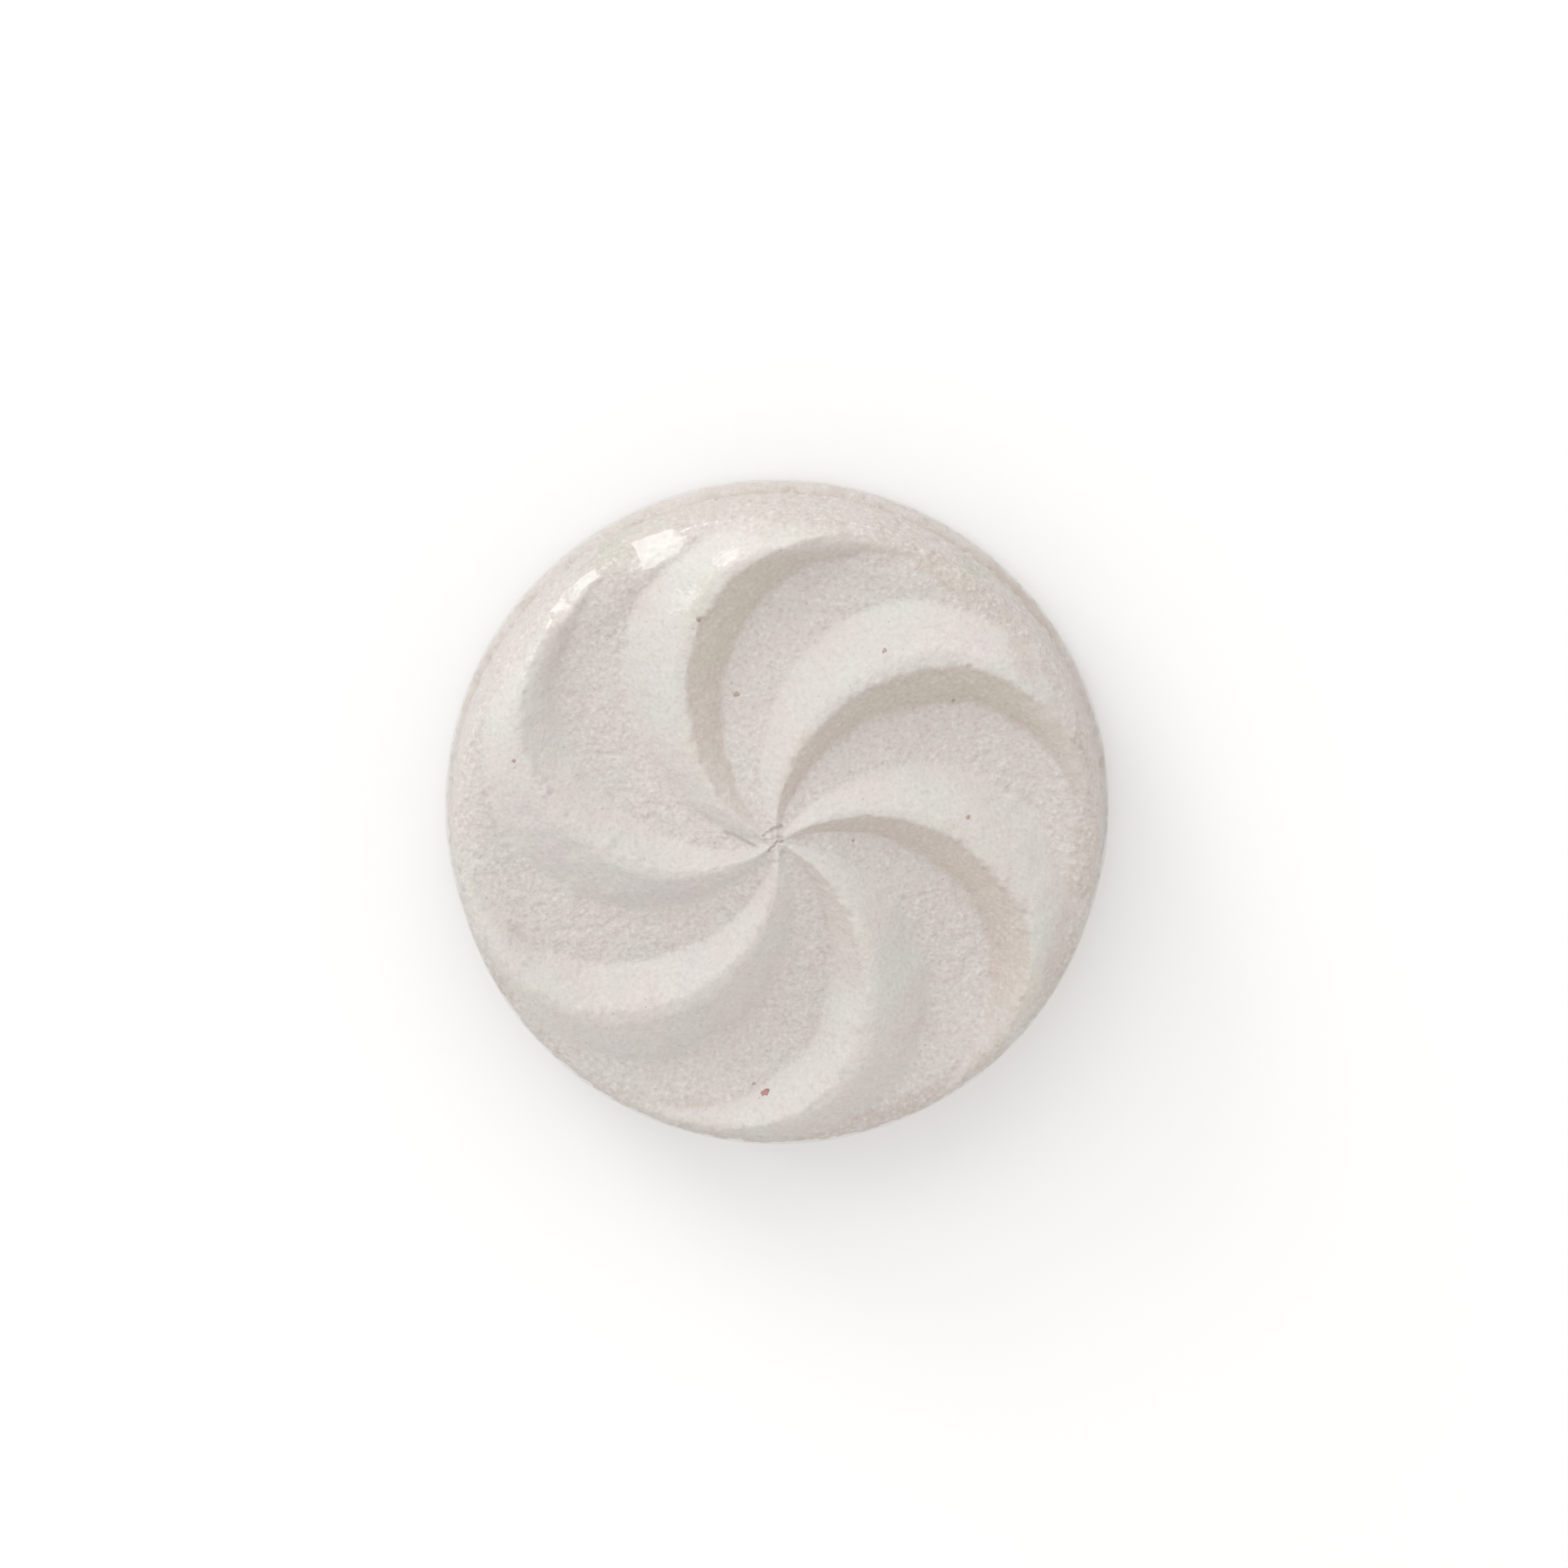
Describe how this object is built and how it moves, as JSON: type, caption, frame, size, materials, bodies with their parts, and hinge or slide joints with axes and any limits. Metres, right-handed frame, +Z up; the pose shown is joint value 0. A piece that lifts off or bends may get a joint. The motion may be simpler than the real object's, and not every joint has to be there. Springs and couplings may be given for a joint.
{
  "type": "shaving soap puck",
  "caption": "Round puck of shaving soap with a curved swirl of ridges moulded in its low domed face, a flat base, and a skin of clear shrink film.",
  "frame": {"origin": "centre of the puck's flat base, on the surface that it stands on", "axes": "+Z up through the centre of the swirl; +X and +Y across the puck, with the first ridge leaving the centre near +Y"},
  "size_m": [0.075, 0.075, 0.0202],
  "materials": {
    "soap": "pale pinkish-tan soap, matt and slightly powdery",
    "film": "clear glossy shrink film",
    "red_chip": "dried petal",
    "brown_chip": "ground spice"
  },
  "bodies": {
    "root": {"soap_puck": "soap", "shrink_film": "film", "red_fleck": "red_chip", "brown_flecks": "brown_chip"}
  },
  "joints": []
}
